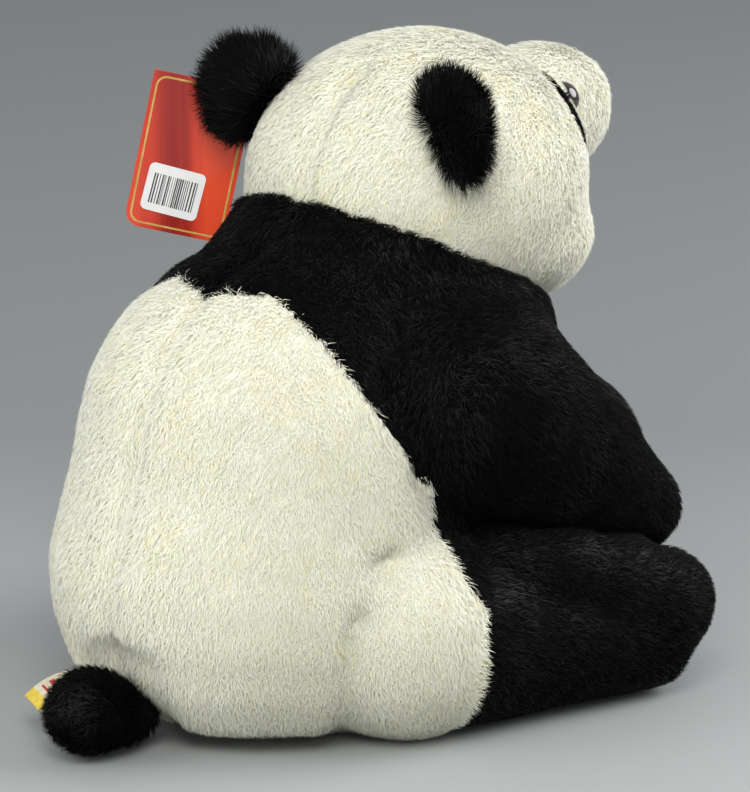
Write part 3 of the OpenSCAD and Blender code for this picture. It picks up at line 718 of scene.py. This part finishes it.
def make_tag():
    bands(card_red, -TAG_TURN, 60)
    place = tag_frame()
    bm = bmesh.new()
    outline = rounded_outline(TAG_W, TAG_L, 7 * MM, square_top=True)
    for low in (CARD_GAP / 2, -CARD_GAP / 2 - CARD_T):
        plate(bm, outline, low, low + CARD_T, place)
    spine = rounded_outline(TAG_W, 1.2 * MM, 0.5 * MM)
    plate(bm, spine, -CARD_GAP / 2, CARD_GAP / 2, place @ Matrix.Translation((0, TAG_L / 2 - 0.7 * MM, 0)))
    outer = rounded_outline(TAG_W - 2 * GOLD_IN, TAG_L - 2 * GOLD_IN, 5 * MM)
    inner = rounded_outline(TAG_W - 2 * (GOLD_IN + GOLD_W), TAG_L - 2 * (GOLD_IN + GOLD_W), 4.2 * MM)
    face = CARD_T + CARD_GAP / 2
    for low in (face, -face - 0.06 * MM):
        plate(bm, outer, low, low + 0.06 * MM, place, 1, inner)
    finish_plate(bm, "swing_tag", [card_red, card_gold], "hang_tag", "tag_card", "hang_tag")
    spot = place.inverted() @ Vector(middle("tag_sticker"))
    where = place @ Matrix.Translation((spot.x, spot.y, 0)) @ Matrix.Rotation(math.radians(-3), 4, "Z")
    bm = bmesh.new()
    plate(bm, rounded_outline(STICKER_W, STICKER_L, 2.6 * MM), face + 0.07 * MM, face + 0.2 * MM, where)
    rng = np.random.default_rng(7)
    x, right = -STICKER_W / 2 + 3 * MM, STICKER_W / 2 - 3 * MM
    while x < right:
        width = rng.choice([0.25, 0.4, 0.65]) * MM
        bar = rounded_outline(width, STICKER_L - 8 * MM, 0.05 * MM, 1)
        plate(bm, bar, face + 0.2 * MM, face + 0.24 * MM,
              where @ Matrix.Translation((x + width / 2, -0.5 * MM, 0)), 1)
        x += width + rng.choice([0.3, 0.5, 0.8]) * MM
    finish_plate(bm, "tag_label", [sticker_white, sticker_ink], "hang_tag", "sticker_paper", "tag_sticker")


LABEL_W, LABEL_L = 22 * MM, 25 * MM
LABEL_TURN, LABEL_DROOP = math.radians(-25), math.radians(24)


def make_care_label():
    """A ribbon folded in two, that bows a little as it droops."""
    root = Vector(joint_at["label_flap"])
    place = Matrix.Translation(root) @ Matrix.Rotation(LABEL_TURN, 4, "Z") @ Matrix.Rotation(-LABEL_DROOP, 4,
                                                                                             "X")
    half = LABEL_L - 1 * MM
    rows, columns = 40, 12
    bm = bmesh.new()
    grid = []
    for i in range(rows + 1):
        along = 2 * LABEL_L * i / rows
        y = min(along, 2 * LABEL_L - along, half)
        leaf = 1 if along < LABEL_L else -1
        z = leaf * (0.35 * MM + 0.5 * MM * math.sin(math.pi * y / half)) + 1.6 * MM * math.sin(math.pi
                                                                                               * y / half)
        if y >= half - 0.1 * MM:
            z = 0.35 * MM * (LABEL_L - along) / MM
        row = []
        for j in range(columns + 1):
            x = LABEL_W * (j / columns - 0.5)
            curl = 0.8 * MM * math.cos(math.pi * x / LABEL_W)
            row.append(bm.verts.new(place @ Vector((x, y, z + curl))))
        grid.append(row)
    for i in range(rows):
        for j in range(columns):
            face = bm.faces.new([grid[i][j], grid[i][j + 1], grid[i + 1][j + 1], grid[i + 1][j]])
            at_fold = abs(i - rows / 2 + 0.5) < rows * 0.12
            motif = 3 <= j <= columns - 4 and (i in (8, 9) or i in (12,))
            face.material_index = 1 if at_fold else 2 if motif else 0
            face.smooth = True
    label = finish_plate(bm, "care_ribbon", [ribbon, ribbon_edge, ribbon_red], "care_label", "label_ribbon",
                         "care_label")


make_tag()
make_care_label()

# ---------- materials of the CAD nodes that stay ----------
STAYS = {"eye_left": eye_plastic, "eye_right": eye_plastic, "nose": nose_plastic, "mouth_stitch": thread,
         "eye_washer_left": washer_plastic, "eye_washer_right": washer_plastic, "tag_fastener": nylon,
         "neck_stuffing": filling, "bean_pouch_bottom": pouch_cloth, "bean_pouch_top": pouch_cloth,
         "bean_pellets": pellet_plastic}
for name, material in STAYS.items():
    nodes[name].data.materials.clear()
    nodes[name].data.materials.append(material)


# ---------- stage ----------
def make_floor():
    bm = bmesh.new()
    bmesh.ops.create_grid(bm, x_segments=1, y_segments=1, size=12)
    mesh = bpy.data.meshes.new("floor")
    bm.to_mesh(mesh)
    bm.free()
    floor = new_object("floor", mesh)
    cloth = shader("floor", (0.2, 0.2, 0.2), 0.7)
    # The floor's colour is painted light: lighter near the front, painted shade towards the far side.
    painted_light_falloff(cloth, math.radians(225), near=(0.35, 0.36, 0.36), far=(0.185, 0.195, 0.195))
    link_bump(cloth, 60, 0.0002)
    mesh.materials.append(cloth)


make_floor()
make_camera()
make_light()
